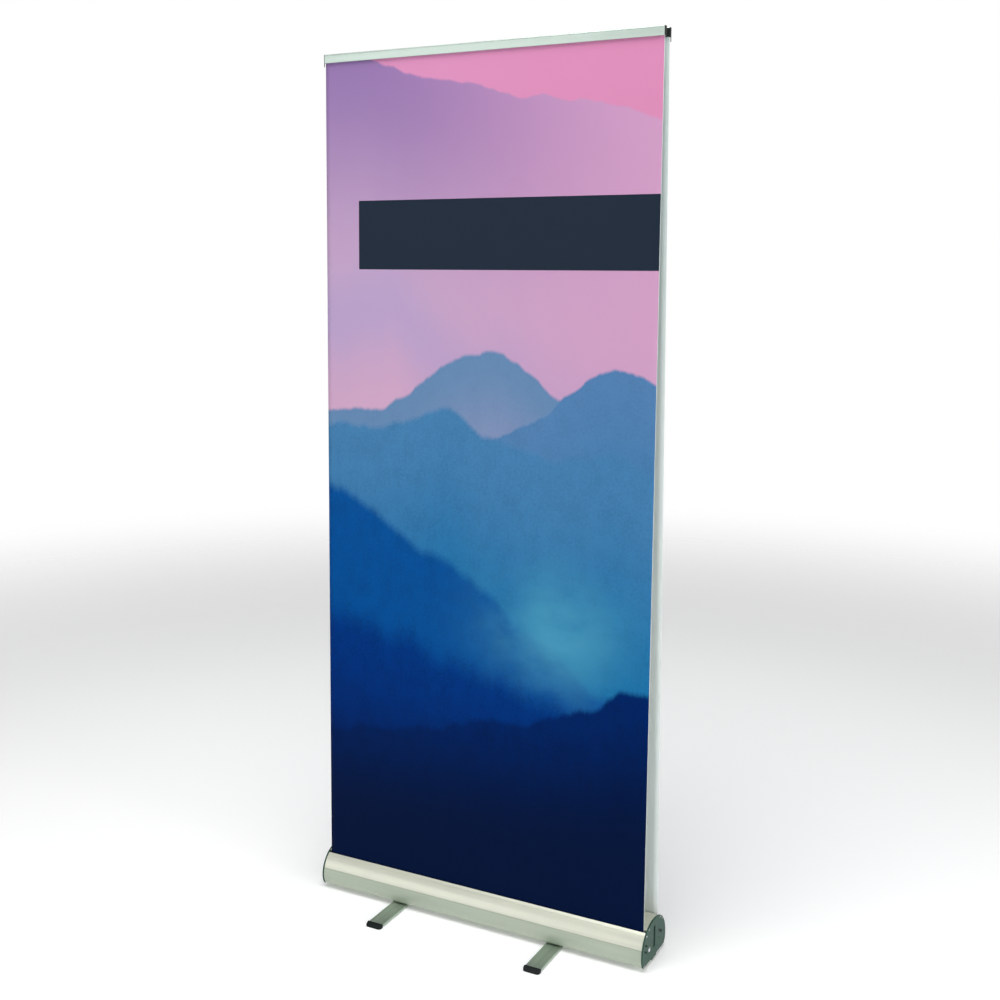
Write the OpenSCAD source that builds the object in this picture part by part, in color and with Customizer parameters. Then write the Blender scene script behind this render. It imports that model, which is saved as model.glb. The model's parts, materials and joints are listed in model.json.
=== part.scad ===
// Double-sided roll-up banner stand.
// X runs along the base, Y from the front face to the rear face, Z up.
// The origin is on the floor, under the middle of the base.

/* [Banner] */
// Width of each banner
banner_w = 850; // [600:10:1200]
// Height of the top of the rails above the floor
total_h = 2067; // [1500:1:2400]
// Thickness of the banner film
film_t = 0.3; // [0.2:0.05:0.5]

/* [Base] */
// Height of the base's crown above the floor
crown_z = 98.5; // [92:0.5:104]
// Height of the end caps' lower edge above the floor
base_z = 10; // [9.5:0.5:14]
// Half of the base's greatest depth
base_half_y = 73; // [71:0.5:80]
// Wall of the base extrusion
base_wall = 1.6; // [1.2:0.1:2.2]
// Thickness of an end cap's plate
cap_t = 4; // [3:0.5:6]
// Gap between a banner's edge and the end cap beside it
side_gap = 5; // [4:0.5:12]
// How far an end cap stands proud of the extrusion all round
cap_proud = 1; // [0.5:0.1:1.5]

/* [Rollers] */
// Height of the rollers' axes above the floor
roller_z = 39; // [36:0.5:46]
// Outside radius of a roller tube
roller_r = 12.5; // [10.5:0.5:15]
// Wall of a roller tube
roller_wall = 1.2; // [1:0.1:1.6]
// Radius of the fixed spring shaft
shaft_r = 4; // [3.3:0.1:4.8]
// Length of the fixed spring shaft inside the tube
shaft_len = 300; // [220:10:360]

/* [Top rails] */
// Height of a top rail
rail_h = 20; // [18:0.5:26]
// Depth of a top rail
rail_depth = 9; // [8.5:0.5:12]
// Wall of a top rail
rail_wall = 1.3; // [1.1:0.1:1.5]

/* [Pole] */
// Outside radius of the pole
pole_r = 8; // [6.5:0.25:9.6]
// Wall of the pole's tubes
pole_wall = 1; // [0.8:0.1:1.4]
// Depth that the pole stands in its socket
socket_depth = 52; // [40:1:60]
// Length of each joint ferrule inside the tube above it
ferrule_grip = 45; // [35:1:55]

/* [Feet] */
// Distance from the middle of the base to a foot's pivot
foot_x = 210; // [195:1:230]
// Half of a foot bar's length
foot_half = 172; // [150:1:180]
// Width of a foot bar
foot_w = 40; // [34:1:50]
// Thickness of a foot bar
foot_t = 6.6; // [5.4:0.1:7]
// Radius of the pivot bolt
pivot_r = 3; // [2.5:0.25:4]

/* [Hidden] */
$fn = 64;

ALUMINIUM = [0.80, 0.81, 0.79];
STEEL = [0.62, 0.63, 0.65];
DARK_PLASTIC = [0.29, 0.34, 0.32];
BLACK = [0.05, 0.06, 0.06];
FILM_FRONT = [0.20, 0.36, 0.58];
FILM_REAR = [0.84, 0.88, 0.87];

eps = 0.01;
run_fit = 0.08;      // radial clearance of a part that turns or slides on another
seat_gap = 0.15;     // clearance of a part that is seated in another
free_gap = 0.4;      // clearance between parts that pass each other
bite = 0.02;         // clearance of a part that is pressed on another
cut = 1;             // how far a cutting shape reaches past the surface it cuts

// Base outline: a three-centred arch on rounded lower corners.
side_z = base_z + 24;                    // height of the widest point
side_r = 64.3;                           // radius of the upper sides
low_r = 41.3;                            // radius of the lower corners
crown_r = 104;                           // radius of the crown
side_cy = base_half_y - side_r;
low_cy = base_half_y - low_r;
housing_half = banner_w / 2 + side_gap;
cap_out = housing_half + cap_t;
floor_bottom = base_z + cap_proud;
floor_top = floor_bottom + base_wall;

// Slot for each banner, with a screw channel along both of its edges.
socket_wall = 2;
web_t = 1.2;
web_in = pole_r + socket_wall + 2 * seat_gap;    // inner half width of the channel for the socket
slot_room = 6.5;                         // room for a plug's flange and the film's slant
slot_y = web_in + web_t + 2 * roller_r + slot_room;
slot_w = 6;
slot_deep = 8;                           // how far the slot's cut reaches below the slot
slot_z = side_z + sqrt(pow(side_r - cap_proud, 2) - pow(slot_y - side_cy, 2));
boss_r = 3.1;
boss_sink = 0.3;                         // how far a screw channel reaches into the wall
screw_r = 1.5;
slot_edge = slot_w / 2 + boss_r;
lip_boss_y = slot_y + slot_edge + 0.08;
deck_boss_y = slot_y - slot_edge - 2.47;
lip_boss_d = side_r - cap_proud - boss_r + boss_sink;
lip_boss = [lip_boss_y, side_z + sqrt(pow(lip_boss_d, 2) - pow(lip_boss_y - side_cy, 2))];
deck_boss_d = crown_r - cap_proud - boss_r + boss_sink;
deck_boss = [deck_boss_y, crown_z - crown_r + sqrt(pow(deck_boss_d, 2) - pow(deck_boss_y, 2))];
low_boss_a = -33;
low_boss_d = low_r - cap_proud - boss_r + boss_sink;
low_boss = [low_cy + low_boss_d * cos(low_boss_a), side_z + low_boss_d * sin(low_boss_a)];
groove_a = 17;                           // angle of the groove round the side's centre
lip_groove_a = 46;                       // angle of the finer groove under the lip
groove_w = 2;
lip_groove_w = 1.3;
groove_depth = 0.9;

// End cap
slot_recess = [11, 50];                  // width and height of the cap's middle recess
slot_recess_z = 31.5;
side_recess = [27, 6.5];                 // recess on the rear half
side_recess_at = [36, 54];
short_recess = [15, 4];                  // two short recesses on the front half
recess_tilt = -30;                       // slant of the side and short recesses
short_recess_at = [[-54, 44], [-52, 58]];
tang = [2.6, 7.2];                       // thickness and width of a shaft's flat end
tang_tilt = -28;                         // the flat's slant, seen from the cap's outside
tang_len = 2.4;                          // how far the flat end reaches into the cap's plate
lug_w = 29;
lug_h = 4.5;
recess_depth = 2.4;
head_sink = 1.6;                         // depth of the seats for screw heads
screw_head_r = 2.7;
screw_shank_r = screw_r - 0.25;
screw_len = 14;
cross = [3.6, 0.7, 0.8];                 // length, width and depth of the screw heads' cross recess
screw_dome = 0.5;                        // how far a screw head stands out of its seat
pin_head_r = 5.8;
pin_head_t = 3.4;
pin_dome_r = 9;
pin_slot = [1.2, 1.2];                   // width and depth of the slot in the pin's head
peep_r = 2;
lug_overlap = 1;

// Roller ends
plug_len = 22;
plug_flange = 1.5;
plug_web = 3;                            // floor left at the end of a plug's lightening holes
tube_half = banner_w / 2 + 1;
plug_flange_r = roller_r + 1.5;
idler_r = 3;
cap_gap = housing_half - tube_half - plug_flange;
end_play = 0.6;
boss_len = cap_gap - end_play;           // bosses on the cap that keep a roller from sliding
roller_boss_r = 9;
tube_bore_r = roller_r - roller_wall;

// Springs
wire_r = 1;
coil_r = (tube_bore_r + shaft_r) / 2 + 0.5;
coil_turns = 14;
coil_steps = 12;
wire_sides = 5;
anchor_len = 16;
anchor_end = 2;
spring_end = 2;                          // room left at each end of the spring
spring_len = shaft_len - plug_len - anchor_len - anchor_end - 2 * spring_end;
anchor_flange = 4;

// Rails
rail_bottom = total_h - rail_h;
rail_behind = 1.2;                       // gap between the rail's back and the pole's side
rail_back = pole_r + rail_behind;
rail_mid = rail_back + rail_depth / 2;
rail_half = banner_w / 2 + 0.5;
rail_cap_t = 1.6;
rail_edge_r = 2;
tail_len = 9;
tail_t = 1.4;
wing_len = 9;
wing_t = 0.8;
film_grip = 12;
jaw_gap = 0.5;                           // half of the gap that the film hangs in
jaw_t = 0.7 * rail_wall;                 // thickness of the wall beside that gap
rail_groove = [0.6, 1.2];                // depth and width of the line along the rail's outer face
rail_groove_z = rail_h - rail_edge_r - 0.8;
wing_low = 0.5;                          // height of a wing's lower edge above the rail's
wing_h = rail_h - rail_edge_r - wing_low;
rail_top_in = rail_wall + 1;             // thickness of the rail's top
rail_plug_len = 8;
clamp_short = 4;                         // how much shorter the clamp bar is at each end

// Pole
socket_rim_z = crown_z + 2;
socket_floor = 3;
collar_w = 7;                            // how far the socket's collar reaches past the pole
collar_z = crown_z - cap_proud + 0.05;
mouth = 0.9;                             // chamfer of the socket's mouth
pole_bottom = socket_rim_z - socket_depth;
head_z = rail_bottom - 8;
section = (head_z - pole_bottom) / 3;
tube_in = pole_r - pole_wall;
ferrule_r = tube_in - seat_gap;
ferrule_wall = 1.2;
joint_gap = 0.2;                         // gap between two tubes of the pole
ferrule_seat = 30;                       // length of ferrule fixed in the tube below it
cord_r = 2;
cup_r = 4;                               // cups knotted on the cord's ends
cup_t = 2.4;
cup_recess = 6;
cup_seat_r = cup_r + free_gap;
plug_lift = 1;                           // height of the foot plug above the pole's lower end
socket_r = pole_r + run_fit;
plug_h = 14;

// Clips: tongues behind each rail drop into slots in the pole's head
tongue_t = 2;
tongue_x = pole_r + 5;
tongue_in = 4;                           // distance of a tongue's inner edge from the middle
tongue_neck = 2.4;                       // height of the tongue above the slot it stands in
clip_plate_t = 0.8;
clip_plate_w = 5;                        // how far the clip's plate reaches past its tongues
tongue_z = [rail_bottom + 2, rail_bottom + 15];
head_half = [tongue_x + tongue_t / 2 + 3, rail_back - free_gap];

// Feet
foot_cap_t = 9.2;
foot_bottom = 1.2;
foot_top = foot_bottom + foot_t;
foot_cap_len = 14;
foot_cap_grip = 12;
foot_wall = 1.5;
foot_edge_r = 2;
cap_over = 0.8;                          // how far a foot's end cap stands out past the bar
cap_top_gap = 0.4;
cap_corner = [2, 6];                     // short and long step of the cap's cut corners
cap_tip_h = 3.2;                         // height of the cap at its tip
cap_flat = 2.5;                          // level part of its top, beside the bar
cap_tongue_in = 4;
bolt_head_r = pivot_r * 2;
bolt_tip = 2;                            // how far the bolt stands out of its nut
washer_r = 11;
nut_r = pivot_r * 1.9;
nut_h = 5;

// Film: one flat run from the roller's outer side, through the slot, to the rail.
film_slope = (slot_y - rail_mid) / (rail_bottom - slot_z);
film_low_z = slot_z - socket_depth - 9;
function film_y(z) = rail_mid + film_slope * (rail_bottom - z);
wrap_t = film_t;
roller_y = film_y(roller_z) - film_t / 2 - free_gap - wrap_t - roller_r;

// A 2-D outline in Y and Z, drawn out along X from one place to another.
module along_x(from, to) {
    translate([from, 0, 0]) rotate([90, 0, 90]) linear_extrude(height = to - from) children();
}

module mirrored_y() {
    children();
    mirror([1, 0]) children();
}

// ---------------------------------------------------------------- base

// The half of the base's outline on the +Y side, taken in by inset.
module half_outline(inset) {
    intersection() {
        union() {
            intersection() {
                translate([side_cy, side_z]) circle(r = side_r - inset, $fn = 128);
                translate([0, side_z]) square([base_half_y + 5, crown_z]);
            }
            intersection() {
                translate([low_cy, side_z]) circle(r = low_r - inset, $fn = 128);
                translate([low_cy, base_z + inset]) square([low_r + 5, side_z - base_z - inset]);
            }
            translate([0, base_z + inset]) square([low_cy, side_z - base_z - inset]);
        }
        translate([0, crown_z - crown_r]) circle(r = crown_r - inset, $fn = 256);
    }
}

module outline(inset) {
    mirrored_y() half_outline(inset);
}

module screw_places() {
    for (s = [-1, 1])
        for (p = [lip_boss, deck_boss, low_boss])
            translate([s * p[0], p[1]]) children();
}

module housing_section() {
    difference() {
        union() {
            difference() {
                outline(cap_proud);
                outline(cap_proud + base_wall);
                for (s = [-1, 1])
                    translate([s * slot_y - slot_w / 2, slot_z - slot_deep])
                        square([slot_w, crown_z - slot_z + slot_deep]);
            }
            intersection() {
                outline(cap_proud);
                union() {
                    screw_places() circle(r = boss_r, $fn = 32);
                    for (s = [-1, 1])
                        translate([s > 0 ? web_in : -web_in - web_t, floor_bottom])
                            square([web_t, crown_z]);
                }
            }
        }
        screw_places() circle(r = screw_shank_r + 0.05, $fn = 32);
        mirrored_y()
            for (g = [[groove_a, groove_w], [lip_groove_a, lip_groove_w]])
                translate([side_cy, side_z]) rotate(g[0]) translate([side_r - cap_proud, 0])
                    square([2 * groove_depth, g[1]], center = true);
    }
}

module base_housing() {
    color(ALUMINIUM) difference() {
        along_x(-housing_half, housing_half) housing_section();
        translate([0, 0, floor_top + cut])
            cylinder(r = pole_r + socket_wall + seat_gap, h = crown_z - floor_top);
        for (s = [-1, 1])
            translate([s * foot_x, 0, floor_bottom - cut])
                cylinder(r = pivot_r + bite, h = base_wall + 2 * cut);
    }
}

// The cap at the base's +X end. The one at the other end is the same part, turned half round.
module end_cap() {
    color(DARK_PLASTIC) difference() {
        union() {
            along_x(housing_half, cap_out) {
                outline(0);
                translate([-lug_w / 2, base_z - lug_h]) square([lug_w, lug_h + lug_overlap]);
            }
            for (s = [-1, 1])
                on_roller(s, housing_half - boss_len) cylinder(r = roller_boss_r, h = boss_len + eps);
        }
        // seats of the idler pin and its head, on the front half
        on_roller(-1, housing_half - boss_len - cut)
            cylinder(r = idler_r + bite, h = cap_t + boss_len + 2 * cut);
        on_roller(-1, cap_out - head_sink) cylinder(r = pin_head_r + free_gap, h = head_sink + cut);
        // blind seat of the spring shaft's flat end, on the rear half, and a hole to see it by
        along_x(housing_half - boss_len - cut, housing_half + tang_len + seat_gap)
            translate([roller_y, roller_z]) rotate(tang_tilt)
                square([tang[1] + 2 * seat_gap, tang[0] + 2 * seat_gap], center = true);
        on_roller(1, housing_half + tang_len) cylinder(r = peep_r, h = cap_t);
        along_x(cap_out - recess_depth, cap_out + cut) {
            translate([-slot_recess[0] / 2, slot_recess_z]) square(slot_recess);
            translate(side_recess_at) rotate(recess_tilt) square(side_recess, center = true);
            for (p = short_recess_at) translate(p) rotate(recess_tilt) square(short_recess, center = true);
        }
        along_x(housing_half - cut, cap_out + cut) screw_places() circle(r = screw_r, $fn = 32);
        along_x(cap_out - head_sink, cap_out + cut)
            screw_places() circle(r = screw_head_r + seat_gap, $fn = 32);
    }
}

// A place on a roller's axis, s = -1 in front and 1 behind, with Z turned along +X.
module on_roller(s, x) {
    translate([x, s * roller_y, roller_z]) rotate([0, 90, 0]) children();
}

module cap_screw() {
    difference() {
        union() {
            rotate([0, 90, 0]) cylinder(r = screw_head_r, h = head_sink + screw_dome);
            translate([-screw_len, 0, 0]) rotate([0, 90, 0])
                cylinder(r = screw_shank_r, h = screw_len + eps);
        }
        for (a = [0, 90])
            rotate([a, 0, 0])
                translate([head_sink + screw_dome - cross[2], -cross[0] / 2, -cross[1] / 2])
                    cube([cross[2] + cut, cross[0], cross[1]]);
    }
}

module end_cap_screws() {
    color(STEEL)
        for (turn = [0, 180])
            rotate([0, 0, turn])
                for (s = [-1, 1])
                    for (p = [lip_boss, deck_boss, low_boss])
                        translate([cap_out - head_sink, s * p[0], p[1]]) cap_screw();
}

module pole_socket() {
    color(BLACK) difference() {
        union() {
            translate([0, 0, collar_z]) cylinder(r = pole_r + collar_w, h = socket_rim_z - collar_z);
            translate([0, 0, pole_bottom - socket_floor])
                cylinder(r = pole_r + socket_wall, h = socket_rim_z - pole_bottom + socket_floor - eps);
        }
        translate([0, 0, pole_bottom]) cylinder(r = socket_r, h = socket_depth + cut);
        translate([0, 0, socket_rim_z - mouth])
            cylinder(r1 = socket_r - eps, r2 = socket_r + mouth + eps, h = mouth + 2 * eps);
    }
}

// ---------------------------------------------------------------- rollers, front one

module roller_tube() {
    color(ALUMINIUM) on_roller(-1, 0) difference() {
        cylinder(r = roller_r, h = 2 * tube_half, center = true);
        cylinder(r = tube_bore_r, h = 2 * (tube_half + cut), center = true);
    }
}

// First turn of film round the tube.
module roller_wrap() {
    color(FILM_REAR) on_roller(-1, 0) difference() {
        cylinder(r = roller_r + eps + wrap_t, h = banner_w, center = true);
        cylinder(r = roller_r + eps, h = banner_w + 2 * cut, center = true);
    }
}

// Plug that closes a tube's end, with a bore on its axis. It sits at the tube's +X end.
module tube_plug(bore_r) {
    on_roller(-1, tube_half) difference() {
        union() {
            cylinder(r = plug_flange_r, h = plug_flange);
            translate([0, 0, -plug_len]) cylinder(r = tube_bore_r - bite, h = plug_len + eps);
        }
        translate([0, 0, -plug_len - cut]) cylinder(r = bore_r, h = plug_len + plug_flange + 2 * cut);
        for (a = [0:60:300])
            rotate(a) translate([(tube_bore_r + bore_r) / 2, 0, -plug_len - cut])
                cylinder(r = (tube_bore_r - bore_r) / 4, h = plug_len - plug_web, $fn = 24);
    }
}

module idler_plug() {
    color(BLACK) tube_plug(idler_r + run_fit);
}

module drive_plug() {
    color(BLACK) mirror([1, 0, 0]) tube_plug(shaft_r + run_fit);
}

// Steel pin fixed in the end cap, with its domed head outside.
module idler_pin() {
    pin_len = cap_t - head_sink + cap_gap + plug_flange + plug_len;
    color(STEEL) on_roller(-1, cap_out - head_sink + 0.05) difference() {
        union() {
            translate([0, 0, -pin_len]) cylinder(r = idler_r, h = pin_len + eps);
            intersection() {
                cylinder(r = pin_head_r, h = pin_head_t);
                translate([0, 0, pin_head_t - pin_dome_r]) sphere(r = pin_dome_r, $fn = 96);
            }
        }
        translate([-pin_head_r, -pin_slot[0] / 2, pin_head_t - pin_slot[1]])
            cube([2 * pin_head_r, pin_slot[0], pin_slot[1] + cut]);
    }
}

// Fixed shaft at the tube's -X end: a flat tang in the end cap, then a round rod.
module spring_shaft() {
    tang_from = housing_half - boss_len;
    color(STEEL) mirror([1, 0, 0]) {
        intersection() {
            on_roller(-1, tang_from - eps) cylinder(r = shaft_r, h = boss_len + tang_len + eps);
            along_x(tang_from - cut, cap_out)
                translate([-roller_y, roller_z]) rotate(-tang_tilt) square([tang[1], tang[0]], center = true);
        }
        on_roller(-1, tube_half - shaft_len) cylinder(r = shaft_r, h = tang_from - tube_half + shaft_len);
    }
}

// Block fixed on the shaft's inner end, that holds the spring's inner end.
module spring_anchor() {
    color(BLACK) on_roller(-1, shaft_len - tube_half - anchor_len - anchor_end) difference() {
        union() {
            cylinder(r = coil_r - wire_r - free_gap, h = anchor_len);
            translate([0, 0, anchor_len - anchor_flange])
                cylinder(r = tube_bore_r - free_gap, h = anchor_flange);
        }
        translate([0, 0, -cut]) cylinder(r = shaft_r + bite, h = anchor_len + 2 * cut);
    }
}

// Torsion spring: wire swept along a helix, ring by ring.
function coil_point(i, k) =
    let (a = 360 * i / coil_steps, b = 360 * k / wire_sides, r = coil_r + wire_r * cos(b))
    [spring_len * i / (coil_turns * coil_steps) + wire_r * sin(b), r * cos(a), r * sin(a)];

module torsion_spring() {
    rings = coil_turns * coil_steps;
    points = [for (i = [0:rings]) for (k = [0:wire_sides - 1]) coil_point(i, k)];
    sides = [for (i = [0:rings - 1]) for (k = [0:wire_sides - 1])
        let (n = (k + 1) % wire_sides, p = i * wire_sides, q = p + wire_sides)
        each [[p + k, q + k, q + n], [p + k, q + n, p + n]]];
    ends = [[for (k = [0:wire_sides - 1]) k], [for (k = [wire_sides - 1:-1:0]) rings * wire_sides + k]];
    color(STEEL) translate([plug_len - tube_half + spring_end, -roller_y, roller_z])
        polyhedron(points = points, faces = concat(sides, ends), convexity = 20);
}

// ---------------------------------------------------------------- film, front one

module banner() {
    low = film_low_z;
    high = rail_bottom + film_grip;
    mirror([0, 1, 0]) along_x(-banner_w / 2, banner_w / 2) polygon([
        [film_y(low) - film_t / 2, low], [film_y(low) + film_t / 2, low],
        [film_y(high) + film_t / 2, high], [film_y(high) - film_t / 2, high]]);
}

// ---------------------------------------------------------------- top rail, front one

// Rail outline. [0, 0] is the middle of its lower edge, and +x faces the pole.
module rail_outline() {
    r = rail_edge_r;
    difference() {
        translate([-rail_depth / 2, 0]) square([rail_depth, rail_h]);
        for (s = [-1, 1])
            translate([s * (rail_depth / 2 - r), rail_h - r]) difference() {
                translate([s > 0 ? 0 : -r, 0]) square([r, r]);
                circle(r = r, $fn = 48);
            }
    }
}

module rail_section() {
    inner = rail_depth / 2 - rail_wall;
    difference() {
        rail_outline();
        translate([-jaw_gap, -cut]) square([2 * jaw_gap + free_gap, rail_wall + 2 * cut]);
        translate([-jaw_gap, rail_wall]) square([inner + jaw_gap, rail_h - rail_wall - rail_top_in]);
        translate([-inner, rail_wall])
            square([inner - jaw_gap - jaw_t, rail_h - rail_wall - rail_top_in]);
        translate([-rail_depth / 2, rail_groove_z])
            square([2 * rail_groove[0], rail_groove[1]], center = true);
    }
}

module at_front_rail() {
    translate([0, -rail_mid, rail_bottom]) children();
}

module top_rail() {
    color(ALUMINIUM) at_front_rail() along_x(-rail_half, rail_half) rail_section();
}

module clamp_bar() {
    color(STEEL) at_front_rail() along_x(-rail_half + clamp_short, rail_half - clamp_short)
        translate([jaw_gap, rail_wall + seat_gap])
            square([rail_depth / 2 - rail_wall - jaw_gap - seat_gap, film_grip]);
}

// Rail end cap, drawn at the +X end: an end plate, a wing on the side towards the pole, and
// a plug in the rail. The one at a viewer's left has a tail that hangs beside the film's edge.
module rail_cap(tail) {
    inner = rail_depth / 2 - rail_wall;
    color(BLACK) at_front_rail() {
        along_x(rail_half, rail_half + rail_cap_t) {
            rail_outline();
            if (tail)
                translate([-rail_depth / 2, -tail_len]) square([tail_t, tail_len + rail_wall]);
        }
        along_x(rail_half - wing_len, rail_half + rail_cap_t)
            translate([rail_depth / 2 + bite, wing_low]) square([wing_t, wing_h]);
        along_x(rail_half + eps, rail_half + rail_cap_t)
            translate([rail_depth / 2 - wing_t, wing_low]) square([2 * wing_t + bite, wing_h]);
        along_x(rail_half - rail_plug_len, rail_half + eps)
            translate([-inner + seat_gap, rail_wall + seat_gap])
                square([inner - jaw_gap - jaw_t - 2 * seat_gap,
                    rail_h - rail_wall - rail_top_in - 2 * seat_gap]);
    }
}

// Two tongues behind the rail, one on each side of the pole, on a plate fixed to the rail.
module rail_clip() {
    plate_half = tongue_x + tongue_t / 2 + clip_plate_w;
    plate_y = rail_back - clip_plate_t;
    clip_top = total_h - 1;
    color(BLACK) mirror([0, 1, 0]) {
        translate([-plate_half, plate_y, tongue_z[1] + free_gap])
            cube([2 * plate_half, clip_plate_t - eps, clip_top - tongue_z[1] - free_gap]);
        for (s = [-1, 1])
            translate([s * tongue_x - tongue_t / 2, tongue_in, tongue_z[0]])
                difference() {
                    cube([tongue_t, rail_back - tongue_in - eps, clip_top - tongue_z[0]]);
                    translate([-cut, -cut, tongue_z[1] - tongue_z[0] + tongue_neck])
                        cube([tongue_t + 2 * cut, plate_y - tongue_in, rail_h]);
                }
    }
}

// ---------------------------------------------------------------- pole

module pole_tube(from, to) {
    color(ALUMINIUM) translate([0, 0, from]) difference() {
        cylinder(r = pole_r, h = to - from);
        translate([0, 0, -cut]) cylinder(r = tube_in, h = to - from + 2 * cut);
    }
}

module pole_lower() {
    pole_tube(pole_bottom, pole_bottom + section - joint_gap);
}

module pole_middle() {
    pole_tube(pole_bottom + section, pole_bottom + 2 * section - joint_gap);
}

module pole_upper() {
    pole_tube(pole_bottom + 2 * section, head_z - joint_gap);
}

// Sleeve fixed in the tube below a joint, that the tube above slides over.
module ferrule(joint_z) {
    color(STEEL) translate([0, 0, joint_z - ferrule_seat]) difference() {
        cylinder(r = ferrule_r, h = ferrule_seat + ferrule_grip);
        translate([0, 0, -cut])
            cylinder(r = ferrule_r - ferrule_wall, h = ferrule_seat + ferrule_grip + 2 * cut);
    }
}

module pole_foot_plug() {
    color(BLACK) translate([0, 0, pole_bottom + plug_lift]) difference() {
        cylinder(r = tube_in - seat_gap, h = plug_h);
        translate([0, 0, -cut]) cylinder(r = cord_r + free_gap, h = plug_h + 2 * cut);
        translate([0, 0, -cut]) cylinder(r = cup_seat_r, h = cup_recess + cut);
    }
}

module bungee_cord() {
    from = pole_bottom + plug_lift + cup_recess;
    to = head_z - plug_h + cup_recess;
    color(BLACK) translate([0, 0, from]) cylinder(r = cord_r, h = to - from, $fn = 24);
}

// Knots' cup washers at both ends of the cord.
module bungee_anchors() {
    low = pole_bottom + plug_lift + cup_recess - cup_t - eps;
    high = head_z - plug_h + cup_recess + eps;
    for (z = [low, high])
        color(STEEL) translate([0, 0, z]) cylinder(r = cup_r, h = cup_t);
}

// Plug in the pole's top, with a block that has two slots in front and two behind for the rails' tongues.
module pole_head() {
    slot = tongue_t + 2 * seat_gap;
    depth = head_half[1] - tongue_in + seat_gap;
    head_top = tongue_z[1] - free_gap;
    block_z = rail_bottom + 1;
    color(BLACK) difference() {
        union() {
            translate([0, 0, head_z - plug_h]) cylinder(r = tube_in - seat_gap, h = plug_h + eps);
            translate([0, 0, head_z]) cylinder(r = pole_r, h = head_top - head_z);
            translate([-head_half[0], -head_half[1], block_z])
                cube([2 * head_half[0], 2 * head_half[1], head_top - block_z]);
        }
        translate([0, 0, head_z - plug_h - cut])
            cylinder(r = cup_seat_r, h = cut + cup_recess + cup_t + free_gap);
        for (turn = [0, 180])
            for (s = [-1, 1])
                rotate([0, 0, turn])
                    translate([s * tongue_x - slot / 2, head_half[1] - depth, head_z])
                        cube([slot, depth + cut, head_top - head_z + cut]);
    }
}

// ---------------------------------------------------------------- feet

module foot_section(inset) {
    r = foot_edge_r;
    translate([-foot_w / 2 + r, foot_bottom + inset]) square([foot_w - 2 * r, foot_t - 2 * inset]);
    for (s = [-1, 1]) {
        translate([s > 0 ? 0 : -foot_w / 2 + inset, foot_bottom + r])
            square([foot_w / 2 - inset, foot_t - 2 * r]);
        for (z = [foot_bottom + r, foot_top - r])
            translate([s * (foot_w / 2 - r), z]) circle(r = r - inset, $fn = 32);
    }
}

module foot_bar() {
    color(ALUMINIUM) difference() {
        rotate([0, 0, 90]) along_x(-foot_half, foot_half) difference() {
            foot_section(0);
            foot_section(foot_wall);
        }
        translate([0, 0, foot_bottom - cut]) cylinder(r = bolt_head_r + free_gap, h = foot_wall + 2 * cut);
        translate([0, 0, foot_bottom]) cylinder(r = pivot_r + run_fit, h = foot_t + cut);
    }
}

// End cap of a foot bar, drawn at the bar's -Y end: a wedge with a tongue in the bar.
module foot_cap() {
    half = foot_w / 2 + cap_over;
    tip = -foot_half - foot_cap_len;
    back = -foot_half - seat_gap;
    a = cap_corner[0];
    b = cap_corner[1];
    top = foot_cap_t - cap_top_gap;
    color(BLACK) {
        intersection() {
            linear_extrude(height = top) polygon([
                [-half, back], [-half, tip + b], [-half + a, tip + a], [-half + b, tip],
                [half - b, tip], [half - a, tip + a], [half, tip + b], [half, back]]);
            along_x(-half, half) polygon([
                [tip, 0], [tip, cap_tip_h], [back - cap_flat, top], [back, top], [back, 0]]);
        }
        rotate([0, 0, 90]) along_x(back - eps, -foot_half + foot_cap_grip)
            translate([-foot_w / 2 + cap_tongue_in, foot_bottom + foot_wall + seat_gap])
                square([foot_w - 2 * cap_tongue_in, foot_t - 2 * (foot_wall + seat_gap)]);
    }
}

module pivot_bolt() {
    bolt_z = foot_bottom + eps;
    color(STEEL) {
        translate([0, 0, bolt_z]) cylinder(r = bolt_head_r, h = foot_t - foot_wall - seat_gap);
        translate([0, 0, bolt_z + eps])
            cylinder(r = pivot_r, h = floor_top + nut_h + bolt_tip - bolt_z - eps);
    }
}

module pivot_washer() {
    washer_t = floor_bottom - foot_top - seat_gap;
    color(BLACK) translate([0, 0, foot_top + 2 * seat_gap / 3]) difference() {
        cylinder(r = washer_r, h = washer_t);
        translate([0, 0, -cut]) cylinder(r = pivot_r + bite, h = washer_t + 2 * cut);
    }
}

module pivot_nut() {
    color(STEEL) translate([0, 0, floor_top + seat_gap / 3]) difference() {
        cylinder(r = nut_r, h = nut_h, $fn = 6);
        translate([0, 0, -cut]) cylinder(r = pivot_r + bite, h = nut_h + 2 * cut);
    }
}

module turned() {
    rotate([0, 0, 180]) children();
}

module at_foot(s) {
    translate([s * foot_x, 0, 0]) children();
}

base_housing();
turned() end_cap();  // left_end_cap
end_cap();  // right_end_cap
end_cap_screws();
pole_socket();
spring_shaft();  // front_spring_shaft
turned() spring_shaft();  // rear_spring_shaft
spring_anchor();  // front_spring_anchor
turned() spring_anchor();  // rear_spring_anchor
torsion_spring();  // front_torsion_spring
turned() torsion_spring();  // rear_torsion_spring
idler_pin();  // front_idler_pin
turned() idler_pin();  // rear_idler_pin
color(FILM_FRONT) banner();  // front_banner
color(FILM_REAR) turned() banner();  // rear_banner
roller_tube();  // front_roller_tube
turned() roller_tube();  // rear_roller_tube
roller_wrap();  // front_roller_wrap
turned() roller_wrap();  // rear_roller_wrap
drive_plug();  // front_drive_plug
turned() drive_plug();  // rear_drive_plug
idler_plug();  // front_idler_plug
turned() idler_plug();  // rear_idler_plug
top_rail();  // front_top_rail
turned() top_rail();  // rear_top_rail
clamp_bar();  // front_clamp_bar
turned() clamp_bar();  // rear_clamp_bar
mirror([1, 0, 0]) rail_cap(true);  // front_rail_left_cap
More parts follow.
